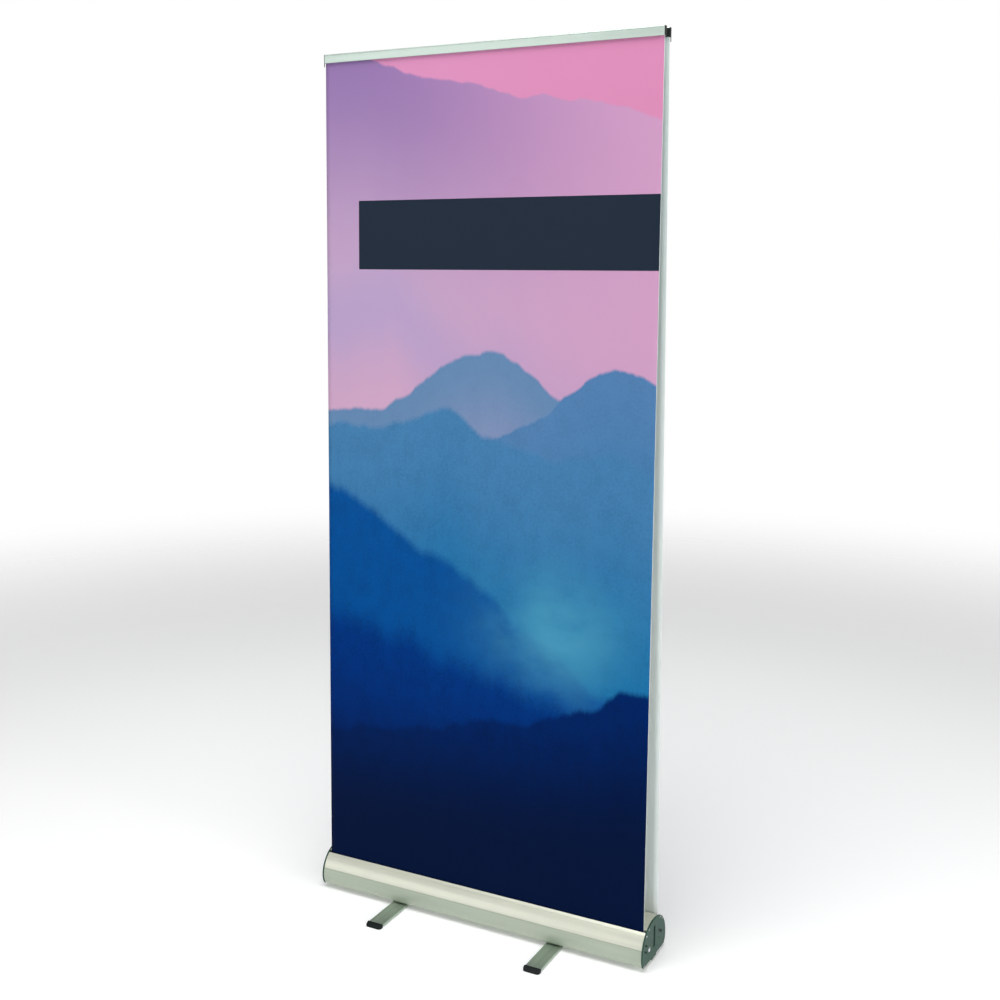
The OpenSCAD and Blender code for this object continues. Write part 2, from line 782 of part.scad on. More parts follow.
rail_cap(false);  // front_rail_right_cap
turned() rail_cap(false);  // rear_rail_left_cap
turned() mirror([1, 0, 0]) rail_cap(true);  // rear_rail_right_cap
rail_clip();  // front_rail_clip
turned() rail_clip();  // rear_rail_clip
pole_lower();
pole_middle();
pole_upper();
ferrule(pole_bottom + section);  // lower_ferrule
ferrule(pole_bottom + 2 * section);  // upper_ferrule
pole_head();
pole_foot_plug();
bungee_cord();
bungee_anchors();
at_foot(-1) foot_bar();  // left_foot_bar
at_foot(1) foot_bar();  // right_foot_bar
at_foot(-1) foot_cap();  // left_foot_front_cap
at_foot(-1) turned() foot_cap();  // left_foot_rear_cap
at_foot(1) foot_cap();  // right_foot_front_cap
at_foot(1) turned() foot_cap();  // right_foot_rear_cap
at_foot(-1) pivot_bolt();  // left_foot_pivot_bolt
at_foot(1) pivot_bolt();  // right_foot_pivot_bolt
at_foot(-1) pivot_washer();  // left_foot_washer
at_foot(1) pivot_washer();  // right_foot_washer
at_foot(-1) pivot_nut();  // left_foot_nut
at_foot(1) pivot_nut();  // right_foot_nut
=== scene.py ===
"""Looks for a double-sided roll-up banner stand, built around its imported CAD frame.

Metres, +Z up. X runs along the base, -Y is the front, and the origin is on the floor under the base.
"""
import json
import math

import bmesh
import bpy
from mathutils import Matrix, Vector

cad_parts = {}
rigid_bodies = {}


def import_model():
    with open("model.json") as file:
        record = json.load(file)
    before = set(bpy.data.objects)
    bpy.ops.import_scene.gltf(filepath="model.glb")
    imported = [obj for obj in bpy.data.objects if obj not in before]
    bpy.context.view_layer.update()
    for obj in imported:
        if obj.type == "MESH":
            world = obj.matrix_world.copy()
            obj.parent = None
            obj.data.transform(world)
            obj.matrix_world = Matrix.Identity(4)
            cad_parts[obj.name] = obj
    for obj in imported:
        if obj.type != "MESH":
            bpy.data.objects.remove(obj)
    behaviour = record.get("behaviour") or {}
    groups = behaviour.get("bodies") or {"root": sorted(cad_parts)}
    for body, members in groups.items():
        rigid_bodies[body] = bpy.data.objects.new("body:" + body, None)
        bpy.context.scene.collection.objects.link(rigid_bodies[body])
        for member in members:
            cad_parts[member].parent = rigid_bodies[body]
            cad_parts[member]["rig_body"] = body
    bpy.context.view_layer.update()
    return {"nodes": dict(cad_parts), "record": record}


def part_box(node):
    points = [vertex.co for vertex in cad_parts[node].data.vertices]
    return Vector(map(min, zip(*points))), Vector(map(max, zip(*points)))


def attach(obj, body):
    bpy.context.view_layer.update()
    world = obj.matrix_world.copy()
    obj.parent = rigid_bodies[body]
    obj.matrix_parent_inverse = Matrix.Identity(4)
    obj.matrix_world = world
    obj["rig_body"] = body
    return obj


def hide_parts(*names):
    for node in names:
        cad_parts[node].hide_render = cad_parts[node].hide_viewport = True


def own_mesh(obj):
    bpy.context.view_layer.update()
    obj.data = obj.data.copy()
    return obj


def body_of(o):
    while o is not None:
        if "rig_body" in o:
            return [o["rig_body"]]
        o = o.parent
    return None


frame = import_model()
NODES = frame["nodes"]
MM = 0.001
SLOTS = {row["node"]: row["material_slot"] for row in frame["record"]["subparts"]}

# ---------------------------------------------------------------- places taken from the frame

FILM_LOW, FILM_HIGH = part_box("front_banner")
RAIL_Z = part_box("front_top_rail")[0].z
FILM_HALF = FILM_HIGH.x
FILM_T = 0.3 * MM
FILM_LENGTH = FILM_HIGH.z - FILM_LOW.z
FILM_SLOPE = (FILM_HIGH.y - FILM_LOW.y - FILM_T) / FILM_LENGTH
GROOVE_Z = 52.5 * MM                    # height of the groove along the base's sides
SLOT_Z = 87 * MM                        # height of the lips, where the film comes out of the base


def film_y(z):
    """Distance of a film's middle from the stand's mid-plane, at height z."""
    return -FILM_HIGH.y + FILM_T / 2 + (FILM_HIGH.z - z) * FILM_SLOPE


# ---------------------------------------------------------------- shader helper


def linear(r, g, b):
    """A display colour, 0 to 255, as the linear colour that a shader takes."""
    def one(c):
        c /= 255
        return c / 12.92 if c <= 0.04045 else ((c + 0.055) / 1.055) ** 2.4
    return one(r), one(g), one(b), 1.0


class Shader:
    """A material with a Principled shader, and short ways to add and join its nodes."""

    def __init__(self, name, roughness=0.5, metallic=0.0, color=(0.8, 0.8, 0.8, 1)):
        self.material = bpy.data.materials.new(name)
        self.material.use_nodes = True
        self.tree = self.material.node_tree
        self.main = self.tree.nodes["Principled BSDF"]
        self.main.inputs["Roughness"].default_value = roughness
        self.main.inputs["Metallic"].default_value = metallic
        self.main.inputs["Base Color"].default_value = color
        self.material.diffuse_color = color
        self.coords = self.add("TexCoord").outputs["Object"]

    def add(self, kind, **settings):
        node = self.tree.nodes.new("ShaderNode" + kind)
        for key, value in settings.items():
            setattr(node, key, value)
        return node

    def put(self, value, socket):
        """Sets a socket to a number or colour, or joins another node's output to it."""
        if isinstance(value, bpy.types.NodeSocket):
            self.tree.links.new(value, socket)
        else:
            socket.default_value = value

    def math(self, operation, a, b=0.0, c=0.0):
        node = self.add("Math", operation=operation)
        for value, socket in zip((a, b, c), node.inputs):
            self.put(value, socket)
        return node.outputs[0]

    def mix(self, share, a, b, blend="MIX"):
        node = self.add("Mix", data_type="RGBA", blend_type=blend)
        self.put(share, node.inputs["Factor"])
        self.put(a, node.inputs[6])
        self.put(b, node.inputs[7])
        return node.outputs[2]

    def axes(self):
        """The x, y and z of the object coordinates, in metres."""
        node = self.add("SeparateXYZ")
        self.put(self.coords, node.inputs[0])
        return tuple(node.outputs)

    def bell(self, *offsets):
        """1 where every offset is 0, and falling away smoothly on all sides."""
        square = 0.0
        for offset in offsets:
            square = self.math("MULTIPLY_ADD", offset, offset, square)
        return self.math("EXPONENT", self.math("MULTIPLY", square, -1.0))

    def smooth(self, value, low, high):
        """0 below low, 1 above high, with soft ends."""
        node = self.add("MapRange", interpolation_type="SMOOTHSTEP")
        self.put(value, node.inputs["Value"])
        self.put(low, node.inputs["From Min"])
        self.put(high, node.inputs["From Max"])
        return node.outputs["Result"]

    def spread(self, value, low, high):
        """A 0 to 1 value, spread from low to high."""
        node = self.add("MapRange")
        self.put(value, node.inputs["Value"])
        node.inputs["To Min"].default_value = low
        node.inputs["To Max"].default_value = high
        return node.outputs["Result"]

    def stretched(self, x, y, z):
        """Object coordinates in metres, scaled along each axis."""
        node = self.add("Mapping")
        node.inputs["Scale"].default_value = (x, y, z)
        self.put(self.coords, node.inputs["Vector"])
        return node.outputs["Vector"]

    def noise(self, coords, scale=1.0, detail=3.0, rough=0.5):
        node = self.add("TexNoise")
        self.put(coords, node.inputs["Vector"])
        node.inputs["Scale"].default_value = scale
        node.inputs["Detail"].default_value = detail
        node.inputs["Roughness"].default_value = rough
        return node.outputs["Fac"]

    def noise_line(self, x, scale, seed, detail=3.0, rough=0.5):
        """Noise along one number, such as the height of a ridge along its length."""
        node = self.add("TexNoise", noise_dimensions="1D")
        self.put(self.math("MULTIPLY_ADD", x, scale, seed), node.inputs["W"])
        node.inputs["Scale"].default_value = 1.0
        node.inputs["Detail"].default_value = detail
        node.inputs["Roughness"].default_value = rough
        return self.math("SUBTRACT", node.outputs["Fac"], 0.5)

    def bump(self, height, depth, strength=1.0, after=None):
        """Adds a bump of that depth in metres; after is the normal from an earlier bump."""
        node = self.add("Bump")
        node.inputs["Strength"].default_value = strength
        node.inputs["Distance"].default_value = depth
        self.put(height, node.inputs["Height"])
        if after is not None:
            self.put(after, node.inputs["Normal"])
        self.put(node.outputs["Normal"], self.main.inputs["Normal"])
        return node.outputs["Normal"]

    def color(self, value):
        self.put(value, self.main.inputs["Base Color"])

    def rough(self, value):
        self.put(value, self.main.inputs["Roughness"])


# ---------------------------------------------------------------- materials


FINE = 2600                             # noise scale across drawn lines and threads, per metre
LONG = 3                                # and along them


def drawn_metal(name, pale, dark, along="x", metallic=0.75, roughness=(0.28, 0.42), painted_shade_below=None):
    """Satin anodised or drawn metal, with fine lines along its length, cloudy patches and small marks.
    The last argument, if given, is a height and a darker tone multiplied in below it: painted shade, for a
    lower side that gets less light from above."""
    s = Shader(name, metallic=metallic)
    lines = s.noise(s.stretched(*[LONG if axis == along else FINE for axis in "xyz"]), detail=2)
    broad = s.noise(s.stretched(*[LONG if axis == along else 0.06 * FINE for axis in "xyz"]), detail=3)
    clouds = s.noise(s.coords, scale=9, detail=4, rough=0.6)
    marks = s.smooth(s.noise(s.coords, scale=420, detail=2), 0.70, 0.76)
    tone = s.math("MULTIPLY_ADD", lines, 0.35, s.math("MULTIPLY", broad, 0.40))
    tone = s.math("MULTIPLY_ADD", clouds, 0.35, tone)
    metal = s.mix(s.smooth(tone, 0.30, 0.80), dark, pale)
    # Painted shade: below the given height the colour is multiplied by a darker tone, standing in for less
    # light on the lower side.
    if painted_shade_below:
        split_z, painted_shade_tone = painted_shade_below
        below = s.math("LESS_THAN", s.axes()[2], split_z)
        metal = s.mix(below, metal, s.mix(1.0, metal, painted_shade_tone, blend="MULTIPLY"))
    mark_color = tuple(0.6 * c for c in dark[:3]) + (1,)
    s.color(s.mix(s.math("MULTIPLY", marks, 0.25), metal, mark_color))
    s.rough(s.math("MULTIPLY_ADD", marks, 0.10, s.spread(tone, *roughness)))
    s.bump(marks, 0.02 * MM, 0.4, after=s.bump(lines, 0.012 * MM, 0.5))
    s.main.inputs["Anisotropic"].default_value = 0.35
    return s.material


def moulded(name, pale, dark, specular, roughness=(0.42, 0.58)):
    """Moulded plastic with a spark-eroded grain, faint flow patches and fine scuffs."""
    s = Shader(name)
    grit = s.noise(s.coords, scale=1400, detail=2)
    flow = s.noise(s.stretched(20, 12, 12), detail=4, rough=0.6)
    scuff = s.smooth(s.noise(s.stretched(500, 60, 60), detail=3), 0.62, 0.72)
    tone = s.math("MULTIPLY_ADD", grit, 0.3, s.math("MULTIPLY", flow, 0.7))
    s.color(s.mix(s.smooth(tone, 0.3, 0.7), dark, pale))
    s.rough(s.math("MULTIPLY_ADD", scuff, 0.12, s.spread(tone, *roughness)))
    s.bump(scuff, 0.01 * MM, 0.3, after=s.bump(grit, 0.05 * MM, 0.6))
    s.main.inputs["Specular IOR Level"].default_value = specular
    return s.material


def plated_steel(name, pale, dark, roughness):
    """Zinc or nickel plate, with a fine mottle and a few dull spots."""
    s = Shader(name, metallic=1.0)
    mottle = s.noise(s.coords, scale=260, detail=5, rough=0.65)
    turned = s.noise(s.stretched(1800, 400, 400), detail=2)
    dull = s.smooth(s.noise(s.coords, scale=700), 0.66, 0.74)
    tone = s.math("MULTIPLY_ADD", turned, 0.4, s.math("MULTIPLY", mottle, 0.6))
    s.color(s.mix(s.smooth(tone, 0.3, 0.7), dark, pale))
    s.rough(s.math("MULTIPLY_ADD", dull, 0.2, s.spread(tone, *roughness)))
    s.bump(turned, 0.01 * MM, 0.4)
    return s.material


def braided(name, pale, dark):
    """Braided cord: two crossing sets of strands round the cord."""
    s = Shader(name, roughness=0.8)
    strands_round = 6.0
    strand_pitch = 2400                 # radians of twist in a metre
    x, y, z = s.axes()
    angle = s.math("ARCTAN2", y, x)
    strands = [
        s.math("SINE", s.math("MULTIPLY_ADD", angle, turn, s.math("MULTIPLY", z, strand_pitch)))
        for turn in (strands_round, -strands_round)
    ]
    weave = s.math("MAXIMUM", *strands)
    s.color(s.mix(s.smooth(weave, -0.2, 0.9), dark, pale))
    s.bump(weave, 0.15 * MM, 0.8)
    return s.material


BACK_SHADE = (0.5, 2.05)                # heights that the film's back gets less light between


def film_back(name):
    """The film's pale inner side: coated cloth, with a faint weave and soft streaks from the rollers."""
    s = Shader(name, roughness=0.5)
    threads = [s.noise(s.stretched(*axes), detail=2) for axes in ((2500, 3, 40), (40, 3, 2500))]
    weave = s.math("ADD", s.math("MULTIPLY", threads[0], 0.5), s.math("MULTIPLY", threads[1], 0.5))
    streaks = s.noise(s.stretched(14, 1, 0.7), detail=4)
    shade = s.mix(s.smooth(s.axes()[2], *BACK_SHADE), linear(236, 243, 241), linear(200, 213, 211))
    streaked = s.math("MULTIPLY", s.smooth(streaks, 0.35, 0.7), 0.35)
    shade = s.mix(streaked, shade, linear(205, 214, 210))
    s.color(s.mix(s.math("MULTIPLY", weave, 0.25), shade, linear(232, 236, 232)))
    s.rough(s.spread(weave, 0.42, 0.58))
    s.bump(weave, 0.03 * MM, 0.5)
    return s.material


# A range of hills: the height of its crest, how that climbs towards the right, a hump on it (its rise, place
# and width), how rough it is (its height, noise scale and seed), how soft the mist leaves its edge, how far
# down it fades, and its colours at the crest and after the fade. The first is furthest away.
HILLS = (
    dict(crest=1.972, tilt=-0.21, hump=(0.0, 0.0, 0.3), rough=(0.045, 5.0, 3.1), edge=0.004, fade=0.55,
         top=linear(146, 116, 168), foot=linear(194, 162, 196)),
    dict(crest=1.40, tilt=-0.30, hump=(0.0, -0.3, 0.3), rough=(0.16, 3.0, 8.4), edge=0.12, fade=0.30,
         top=linear(178, 158, 200), foot=linear(208, 166, 197)),
    dict(crest=1.235, tilt=0.02, hump=(0.15, 0.0, 0.17), rough=(0.035, 8.0, 5.7), edge=0.006, fade=0.26,
         top=linear(102, 138, 178), foot=linear(134, 148, 186)),
    dict(crest=1.165, tilt=0.12, hump=(0.14, 0.34, 0.20), rough=(0.035, 8.0, 2.2), edge=0.005, fade=0.55,
         top=linear(84, 130, 178), foot=linear(42, 122, 174)),
    dict(crest=1.165, tilt=-0.07, hump=(0.07, -0.10, 0.10), rough=(0.035, 7.0, 11.3), edge=0.010, fade=0.50,
         top=linear(72, 130, 178), foot=linear(24, 112, 168)),
    dict(crest=0.795, tilt=-0.58, hump=(0.03, -0.1, 0.2), rough=(0.05, 6.0, 6.6), edge=0.018, fade=0.34,
         top=linear(8, 82, 154), foot=linear(4, 80, 152)),
    dict(crest=0.62, tilt=-0.24, hump=(0.0, 0.0, 0.2), rough=(0.045, 8.0, 9.2), edge=0.045, fade=0.36,
         top=linear(0, 54, 130), foot=linear(0, 42, 114)),
    dict(crest=0.50, tilt=0.22, hump=(0.05, 0.42, 0.12), rough=(0.04, 9.0, 4.5), edge=0.010, fade=0.40,
         top=linear(0, 38, 102), foot=linear(0, 22, 66)),
)
FAINT = 2                               # how many of the ranges, from the first, are only tones in the sky
SKY = (linear(212, 141, 182), linear(212, 136, 177))
WARM = linear(212, 158, 194)            # evening light on the right of the faint ranges
MIST = linear(74, 154, 188)
# The bank of mist: the range it hangs in front of, its middle, and how narrow and how flat it is.
MIST_BANK = dict(over=5, across=0.20, height=0.75, narrow=6.5, flat=7.5)
NIGHT = linear(4, 21, 57)
DUSK = (0.60, 0.16)                     # heights that the print gets dark between, downwards
BAND = dict(left=-0.333, low=1.563, high=1.724, color=linear(36, 46, 60))
MARGIN = 0.8 * MM                       # bare strip along the print's right edge
GRAIN_DEPTH = 0.004                     # how far leaves lift a crest, in metres


def ridge(s, hill, across):
    """Height of a range's crest along the banner."""
    size, scale, seed = hill["rough"]
    rise, centre, width = hill["hump"]
    crest = s.math("MULTIPLY_ADD", across, hill["tilt"], hill["crest"])
    teeth = s.noise_line(across, scale, seed, detail=5, rough=0.42)
    crest = s.math("MULTIPLY_ADD", teeth, 2 * size, crest)
    if rise:
        off = s.math("DIVIDE", s.math("SUBTRACT", across, centre), width)
        crest = s.math("MULTIPLY_ADD", s.bell(off), rise, crest)
    return crest


def mist_share(s, across, height):
    """How much mist there is: a bank with soft sides, broken into wisps."""
    away = s.math("MULTIPLY", s.math("SUBTRACT", across, MIST_BANK["across"]), MIST_BANK["narrow"])
    up = s.math("MULTIPLY", s.math("SUBTRACT", height, MIST_BANK["height"]), MIST_BANK["flat"])
    wisps = s.noise(s.stretched(5, 1, 8), detail=4, rough=0.5)
    return s.math("MULTIPLY", s.bell(away, up), s.smooth(wisps, 0.15, 0.65))


def landscape(s, across, height):
    """Hills in mist, painted from the furthest range to the nearest, and night at the foot."""
    picture = s.mix(s.smooth(across, -0.4, 0.4), *SKY)
    leaves = s.noise(s.stretched(150, 1, 150), detail=5, rough=0.7)
    groves = s.noise(s.stretched(26, 1, 18), detail=5, rough=0.65)
    clumps = s.math("MULTIPLY_ADD", groves, 0.45, s.math("MULTIPLY", leaves, 0.55))
    for i, hill in enumerate(HILLS):
        edge = hill["edge"]
        depth = s.math("SUBTRACT", ridge(s, hill, across), height)
        depth = s.math("MULTIPLY_ADD", s.math("SUBTRACT", leaves, 0.5), 0.3 * edge + GRAIN_DEPTH, depth)
        tone = s.mix(s.smooth(depth, 0.0, hill["fade"]), hill["top"], hill["foot"])
        if i < FAINT:
            tone = s.mix(s.math("MULTIPLY", s.smooth(across, -0.35, 0.55), 0.85), tone, WARM)
        else:
            ink = s.math("MULTIPLY", s.smooth(clumps, 0.42, 0.62), 0.05 * i - 0.04)
            tone = s.mix(ink, tone, NIGHT)
        picture = s.mix(s.smooth(depth, -edge, edge), picture, tone)
        if i == MIST_BANK["over"]:
            picture = s.mix(mist_share(s, across, height), picture, MIST)
    return s.mix(s.smooth(height, *DUSK), picture, NIGHT)


def in_band(s, across, height):
    """1 inside the plain dark band, which runs to the print's right edge, and 0 outside it."""
    right_of = s.math("GREATER_THAN", across, BAND["left"])
    above = s.math("GREATER_THAN", height, BAND["low"])
    below = s.math("LESS_THAN", height, BAND["high"])
    return s.math("MULTIPLY", right_of, s.math("MULTIPLY", above, below))


def print_film(name, side):
    """Printed film: a landscape with a plain dark band. side is 1 for the front banner, and -1 for the rear
    one, whose print is read from behind."""
    s = Shader(name, roughness=0.46)
    x, _, height = s.axes()
    across = s.math("MULTIPLY", x, side)
    picture = s.mix(in_band(s, across, height), landscape(s, across, height), BAND["color"])
    dots = s.noise(s.stretched(900, 1, 900), detail=1)
    picture = s.mix(s.math("MULTIPLY", dots, 0.10), picture, (0, 0, 0, 1))
    bare = s.math("GREATER_THAN", across, FILM_HALF - MARGIN)
    s.color(s.mix(bare, picture, linear(226, 233, 231)))
    threads = [s.noise(s.stretched(*axes), detail=1) for axes in ((FINE, 1, 60), (60, 1, FINE))]
    weave = s.math("MULTIPLY", s.math("ADD", *threads), 0.5)
    s.rough(s.spread(weave, 0.40, 0.52))
    s.bump(weave, 0.02 * MM, 0.4)
    s.main.inputs["Specular IOR Level"].default_value = 0.02
    return s.material


PAINTED_SHADE_BELOW_GROOVE = (0.64, 0.71, 0.69, 1)    # painted shade: darker tone multiplied into the housing below its groove, where less light falls


def make_materials():
    """Every material, under the name of its slot in the record. pole, film_back and the prints are extra."""
    return {
        # The housing gets painted shade below its groove.
        "housing": drawn_metal("housing_metal", linear(221, 221, 204), linear(205, 208, 192),
                               metallic=0.25, painted_shade_below=(GROOVE_Z, PAINTED_SHADE_BELOW_GROOVE)),
        "rail": drawn_metal("rail_metal", linear(193, 206, 198), linear(175, 190, 181), metallic=0.5),
        "foot_metal": drawn_metal("foot_metal", linear(182, 196, 180), linear(152, 170, 153), along="y"),
        "bare_aluminium": drawn_metal("drawn_aluminium", linear(214, 216, 218), linear(180, 182, 184),
                                      metallic=0.9),
        "pole": drawn_metal("pole_aluminium", linear(206, 208, 210), linear(170, 172, 174),
                            along="z", metallic=0.9),
        "cap_plastic": moulded("cap_plastic", linear(46, 82, 68), linear(36, 66, 55), specular=0.3),
        "black_plastic": moulded("black_plastic", linear(26, 32, 31), linear(14, 18, 18), specular=0.35),
        "foot_rubber": moulded("foot_rubber", linear(13, 24, 22), linear(7, 14, 13),
                               roughness=(0.45, 0.65), specular=0.25),
        "steel": plated_steel("zinc_steel", linear(222, 224, 226), linear(176, 178, 184), (0.14, 0.28)),
        "chrome_steel": plated_steel("bright_steel", linear(226, 228, 232), linear(196, 198, 204),
                                     (0.08, 0.18)),
        "spring_steel": plated_steel("spring_steel", linear(128, 126, 124), linear(84, 82, 82), (0.3, 0.5)),
        "elastic_cord": braided("elastic_cord", linear(58, 58, 62), linear(18, 18, 20)),
        "film_back": film_back("film_back"),
        "front_print": print_film("front_print", 1),
        "rear_print": print_film("rear_print", -1),
    }


def paint_frame(materials):
    """Gives each CAD node the material of its slot in the record. What has none, such as the film on the
    rollers, gets the film's back."""
    for name, slot in SLOTS.items():
        key = "pole" if name.startswith("pole_") and slot == "bare_aluminium" else slot
        NODES[name].data.materials.clear()
        NODES[name].data.materials.append(materials.get(key, materials["film_back"]))


# ---------------------------------------------------------------- pieces with worked edges

# Width of the worked edge on each kind of piece, in mm, and the smallest face that takes one, in mm2. Smaller
# faces belong to bores and fine curves, which stay as they are.
EDGES = {
    "base_housing": (0.22, 60),
    "end_cap": (0.55, 4),
    "top_rail": (0.30, 200),
    "left_cap": (0.35, 3), "right_cap": (0.35, 3),
    "rail_clip": (0.25, 4),
    "pole_head": (0.50, 8),
    "foot_bar": (0.30, 30),
    "front_cap": (0.70, 8), "rear_cap": (0.70, 8),
}
SHARP = math.radians(35)
LEVEL = math.radians(0.4)               # faces nearer than this to one plane are joined first
TOUCHING = 0.002 * MM                   # corners nearer than this are one
RECESS = (1.9 * MM, 3.2 * MM)           # depths below an end cap's face between which the recess floors get black plastic as painted shade


def rounded(node, width, least_area, materials):
    """Puts in a CAD piece's place a copy whose sharp edges are rounded over, so that they catch the light."""
    mesh = bmesh.new()
    mesh.from_mesh(NODES[node].data)
    bmesh.ops.remove_doubles(mesh, verts=mesh.verts, dist=TOUCHING)
    bmesh.ops.dissolve_limit(mesh, angle_limit=LEVEL, verts=mesh.verts, edges=mesh.edges)
    edges = [e for e in mesh.edges
             if len(e.link_faces) == 2 and e.calc_face_angle(0) > SHARP
             and min(f.calc_area() for f in e.link_faces) > least_area * MM * MM]
    bmesh.ops.bevel(mesh, geom=edges, offset=width * MM, offset_type="OFFSET", segments=2, profile=0.5,
                    affect="EDGES", clamp_overlap=False, loop_slide=True)
    bmesh.ops.remove_doubles(mesh, verts=mesh.verts, dist=TOUCHING)
    bmesh.ops.dissolve_degenerate(mesh, dist=TOUCHING, edges=mesh.edges)
    bmesh.ops.triangulate(mesh, faces=[f for f in mesh.faces if len(f.verts) > 4])
    outside = max(abs(v.co.x) for v in mesh.verts)
    for face in mesh.faces:
        face.smooth = True
        sunk = outside - abs(face.calc_center_median().x)
        faces_out = abs(face.normal.x) > 0.9
        # Painted shade: the floors of the end caps' recesses get black plastic, a dark sheet standing in for
        # the shade deep in the recesses.
        if node.endswith("end_cap") and faces_out and RECESS[0] < sunk < RECESS[1]:
            face.material_index = 1
    for edge in mesh.edges:
        edge.smooth = edge.calc_face_angle(0) < SHARP
    data = bpy.data.meshes.new(f"{node}_worked")
    mesh.to_mesh(data)
    mesh.free()
    piece = bpy.data.objects.new(f"{node}_worked", data)
    bpy.context.scene.collection.objects.link(piece)
    piece.modifiers.new("even_shading", "WEIGHTED_NORMAL").keep_sharp = True
    key = SLOTS[node]
    data.materials.append(materials[key])
    # Second slot, black plastic for the painted shade on the end caps' recess floors.
    if node.endswith("end_cap"):
        data.materials.append(materials["black_plastic"])
    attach(piece, body_of(NODES[node])[0])
    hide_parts(node)


def work_edges(materials):
    """Works the edges of every piece that is in EDGES, each at the end of its name."""
    for node in sorted(NODES):
        for kind, (width, least_area) in EDGES.items():
            if node.endswith(kind):
                rounded(node, width, least_area, materials)


# ---------------------------------------------------------------- films


COLUMNS, ROWS = 68, 160                 # quads across a film and up it
LONG_FOLD = 0.30 * MM
SHORT_FOLD = 0.10 * MM
SLOT_FADE, RAIL_FADE = 0.15, 0.12       # folds fade in over these lengths, from the slot and from the rail


def ripple(side, x, z):
    """How far a film stands off its plane. Under tension it is nearly flat, and its faint folds stand out
    from the stand, never in towards the roller, so that it clears the roller when the rail is down."""
    edge = min(1.0, max(0.0, z - SLOT_Z) / SLOT_FADE) * min(1.0, max(0.0, RAIL_Z - z) / RAIL_FADE)
    long_wave = 1 + math.sin(5.1 * x + 0.9 * side) * math.cos(1.7 * z + 0.6)
    short_wave = 1 + math.sin(21 * x + 1.3) * math.exp(-3 * abs(z - 0.35))
    return edge * (LONG_FOLD * long_wave + SHORT_FOLD * short_wave)


def film_mesh(name, side):
    """A thin closed sheet: material 0 on its outer face, and 1 on its inner face and rim."""
    low, high = FILM_LOW.z, FILM_HIGH.z
    mesh = bmesh.new()
    layers = []
    for face in (1, -1):
        layer = []
        for j in range(ROWS + 1):
            z = low + (high - low) * j / ROWS
            for i in range(COLUMNS + 1):
                x = FILM_HALF * (2 * i / COLUMNS - 1)
                y = film_y(z) + ripple(side, x, z) + face * FILM_T / 2
                layer.append(mesh.verts.new((x, side * y, z)))
        layers.append(layer)
    outer, inner = layers

    def quad(corners, slot):
        made = mesh.faces.new(corners)
        made.material_index = slot
        made.smooth = True

    wide = COLUMNS + 1
    top = ROWS * wide
    for j in range(ROWS):
        for i in range(COLUMNS):
            a = j * wide + i
            b, c, d = a + 1, a + wide + 1, a + wide
            quad([outer[k] for k in (a, b, c, d)], 0)
            quad([inner[k] for k in (d, c, b, a)], 1)
    for i in range(COLUMNS):
        quad([outer[i], inner[i], inner[i + 1], outer[i + 1]], 1)
        quad([outer[top + i + 1], inner[top + i + 1], inner[top + i], outer[top + i]], 1)
    for j in range(ROWS):
        for i in (0, COLUMNS):
            a = j * wide + i
            quad([outer[a], outer[a + wide], inner[a + wide], inner[a]], 1)
    bmesh.ops.recalc_face_normals(mesh, faces=mesh.faces)
    data = bpy.data.meshes.new(f"{name}_film")
    mesh.to_mesh(data)
    mesh.free()
    return data


def film(side, materials):
    """One banner: print outside, pale cloth inside. It rides on its rail."""
    name = "front" if side < 0 else "rear"
    data = film_mesh(name, side)
    piece = bpy.data.objects.new(f"{name}_film", data)
    bpy.context.scene.collection.objects.link(piece)
    data.materials.append(materials[f"{name}_print"])
    data.materials.append(materials["film_back"])
    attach(piece, f"{name}_rail")
    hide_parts(f"{name}_banner")
    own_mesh(piece)


# ---------------------------------------------------------------- stage, lights, camera


FLOOR_RADIUS = 7
FLOOR_FADE = (2.2, 5.5)                 # distances from the stand that the floor fades out between
FLOOR_GLOW = 0.16


def stage():
    """A pale round floor that fades out, so that it meets the white surroundings with no line."""
    bpy.ops.mesh.primitive_circle_add(vertices=96, radius=FLOOR_RADIUS, fill_type="NGON", location=(0, 0, 0))
    floor = bpy.context.object
    floor.name = "floor"
    s = Shader("floor_paint", roughness=0.85, color=linear(250, 250, 250))
    clear = s.add("BsdfTransparent")
    mixer = s.add("MixShader")
    distance = s.add("VectorMath", operation="LENGTH")
    s.put(s.coords, distance.inputs[0])
    s.put(s.smooth(distance.outputs["Value"], *FLOOR_FADE), mixer.inputs[0])
    s.put(s.main.outputs[0], mixer.inputs[1])
    s.put(clear.outputs[0], mixer.inputs[2])
    s.put(mixer.outputs[0], s.tree.nodes["Material Output"].inputs["Surface"])
    s.main.inputs["Specular IOR Level"].default_value = 0.1
    s.main.inputs["Emission Color"].default_value = (1, 1, 1, 1)
    s.main.inputs["Emission Strength"].default_value = FLOOR_GLOW
    floor.data.materials.append(s.material)


# Name, place, aim, diameter and power of each lamp.
LAMPS = (
    ("front", (-2.3, -4.0, 2.0), (0, 0, 1.0), 2.6, 34),
    ("top", (0.2, -0.9, 4.6), (0, -0.1, 0), 3.2, 165),
    ("side", (4.0, -0.4, 1.5), (0.4, 0, 0.6), 2.0, 50),
)
FILL_COLOR = (0.97, 1.0, 1.0, 1)
FILL = (0.05, 0.75, 0.56, 0.10)         # even light: upward slants it falls between, and its strength at each


def area_light(name, place, target, size, power):
    data = bpy.data.lights.new(name, "AREA")
    data.shape = "DISK"
    data.size = size
    data.energy = power
    light = bpy.data.objects.new(name, data)
    light.location = place
    light.rotation_euler = (Vector(target) - Vector(place)).to_track_quat("-Z", "Y").to_euler()
    bpy.context.scene.collection.objects.link(light)


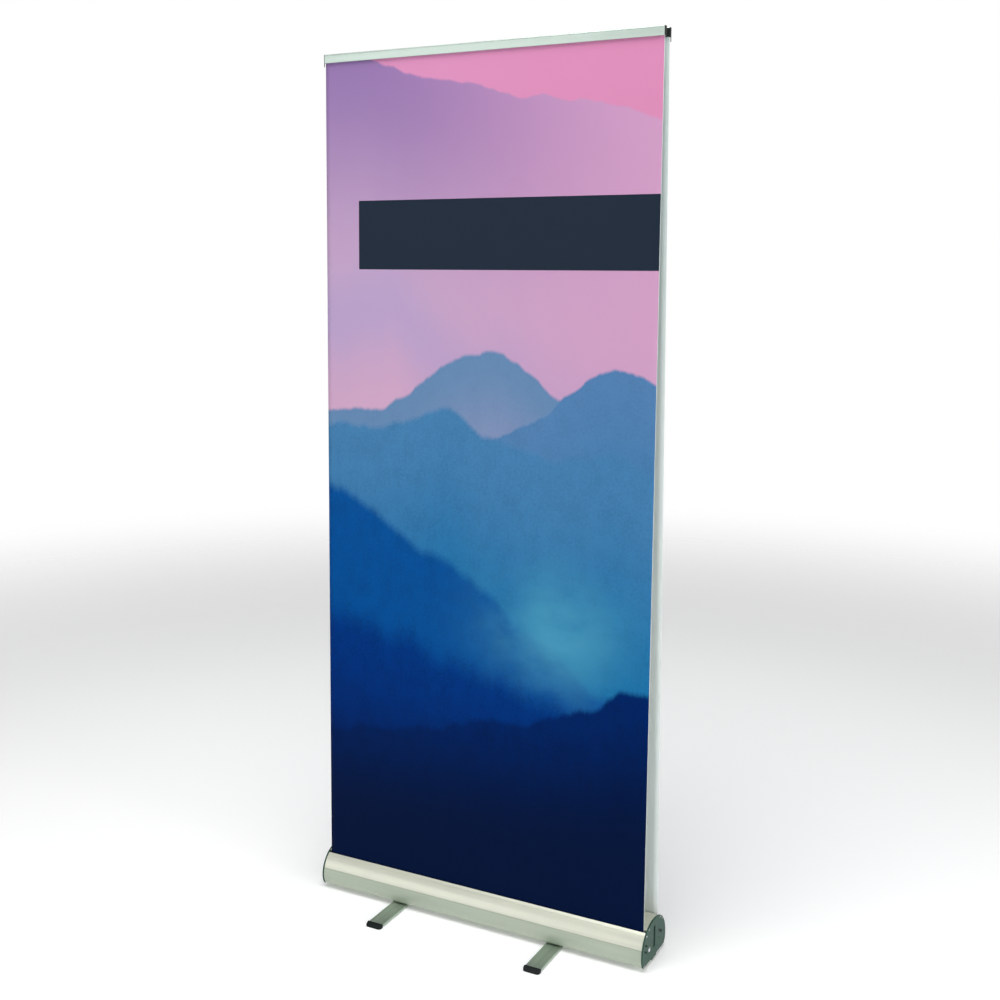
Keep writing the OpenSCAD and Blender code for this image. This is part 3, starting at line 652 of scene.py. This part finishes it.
def light_scene():
    """White surroundings that only the camera sees, an even light for everything else, and three lamps."""
    world = bpy.data.worlds.new("studio")
    world.use_nodes = True
    tree = world.node_tree
    fill = tree.nodes["Background"]
    fill.inputs["Color"].default_value = FILL_COLOR
    direction = tree.nodes.new("ShaderNodeTexCoord")
    split = tree.nodes.new("ShaderNodeSeparateXYZ")
    fall = tree.nodes.new("ShaderNodeMapRange")
    tree.links.new(direction.outputs["Generated"], split.inputs[0])
    tree.links.new(split.outputs[2], fall.inputs["Value"])
    for socket, value in zip(("From Min", "From Max", "To Min", "To Max"), FILL):
        fall.inputs[socket].default_value = value
    tree.links.new(fall.outputs["Result"], fill.inputs["Strength"])
    paper = tree.nodes.new("ShaderNodeBackground")
    paper.inputs["Color"].default_value = (1, 1, 1, 1)
    paper.inputs["Strength"].default_value = 1.0
    rays = tree.nodes.new("ShaderNodeLightPath")
    mixer = tree.nodes.new("ShaderNodeMixShader")
    tree.links.new(rays.outputs["Is Camera Ray"], mixer.inputs[0])
    tree.links.new(fill.outputs[0], mixer.inputs[1])
    tree.links.new(paper.outputs[0], mixer.inputs[2])
    tree.links.new(mixer.outputs[0], tree.nodes["World Output"].inputs["Surface"])
    bpy.context.scene.world = world
    for lamp in LAMPS:
        area_light(*lamp)
    view = bpy.context.scene.view_settings
    view.view_transform = "Standard"
    view.look = "None"


CAMERA_PLACE = (1.411, -2.657, 1.593)
CAMERA_DOWN, CAMERA_TURN = 7.803, 28.167    # degrees below level, and turned to the left
LENS, SENSOR = 47.108, 36
SHIFT = (0.0178, -0.064)


def camera():
    data = bpy.data.cameras.new("camera")
    data.lens = LENS
    data.sensor_width = SENSOR
    data.shift_x, data.shift_y = SHIFT
    eye = bpy.data.objects.new("camera", data)
    eye.location = CAMERA_PLACE
    eye.rotation_euler = (math.radians(90 - CAMERA_DOWN), 0, math.radians(CAMERA_TURN))
    bpy.context.scene.collection.objects.link(eye)
    bpy.context.scene.camera = eye


def build():
    camera()
    light_scene()
    stage()
    materials = make_materials()
    paint_frame(materials)
    work_edges(materials)
    for side in (-1, 1):
        film(side, materials)


build()
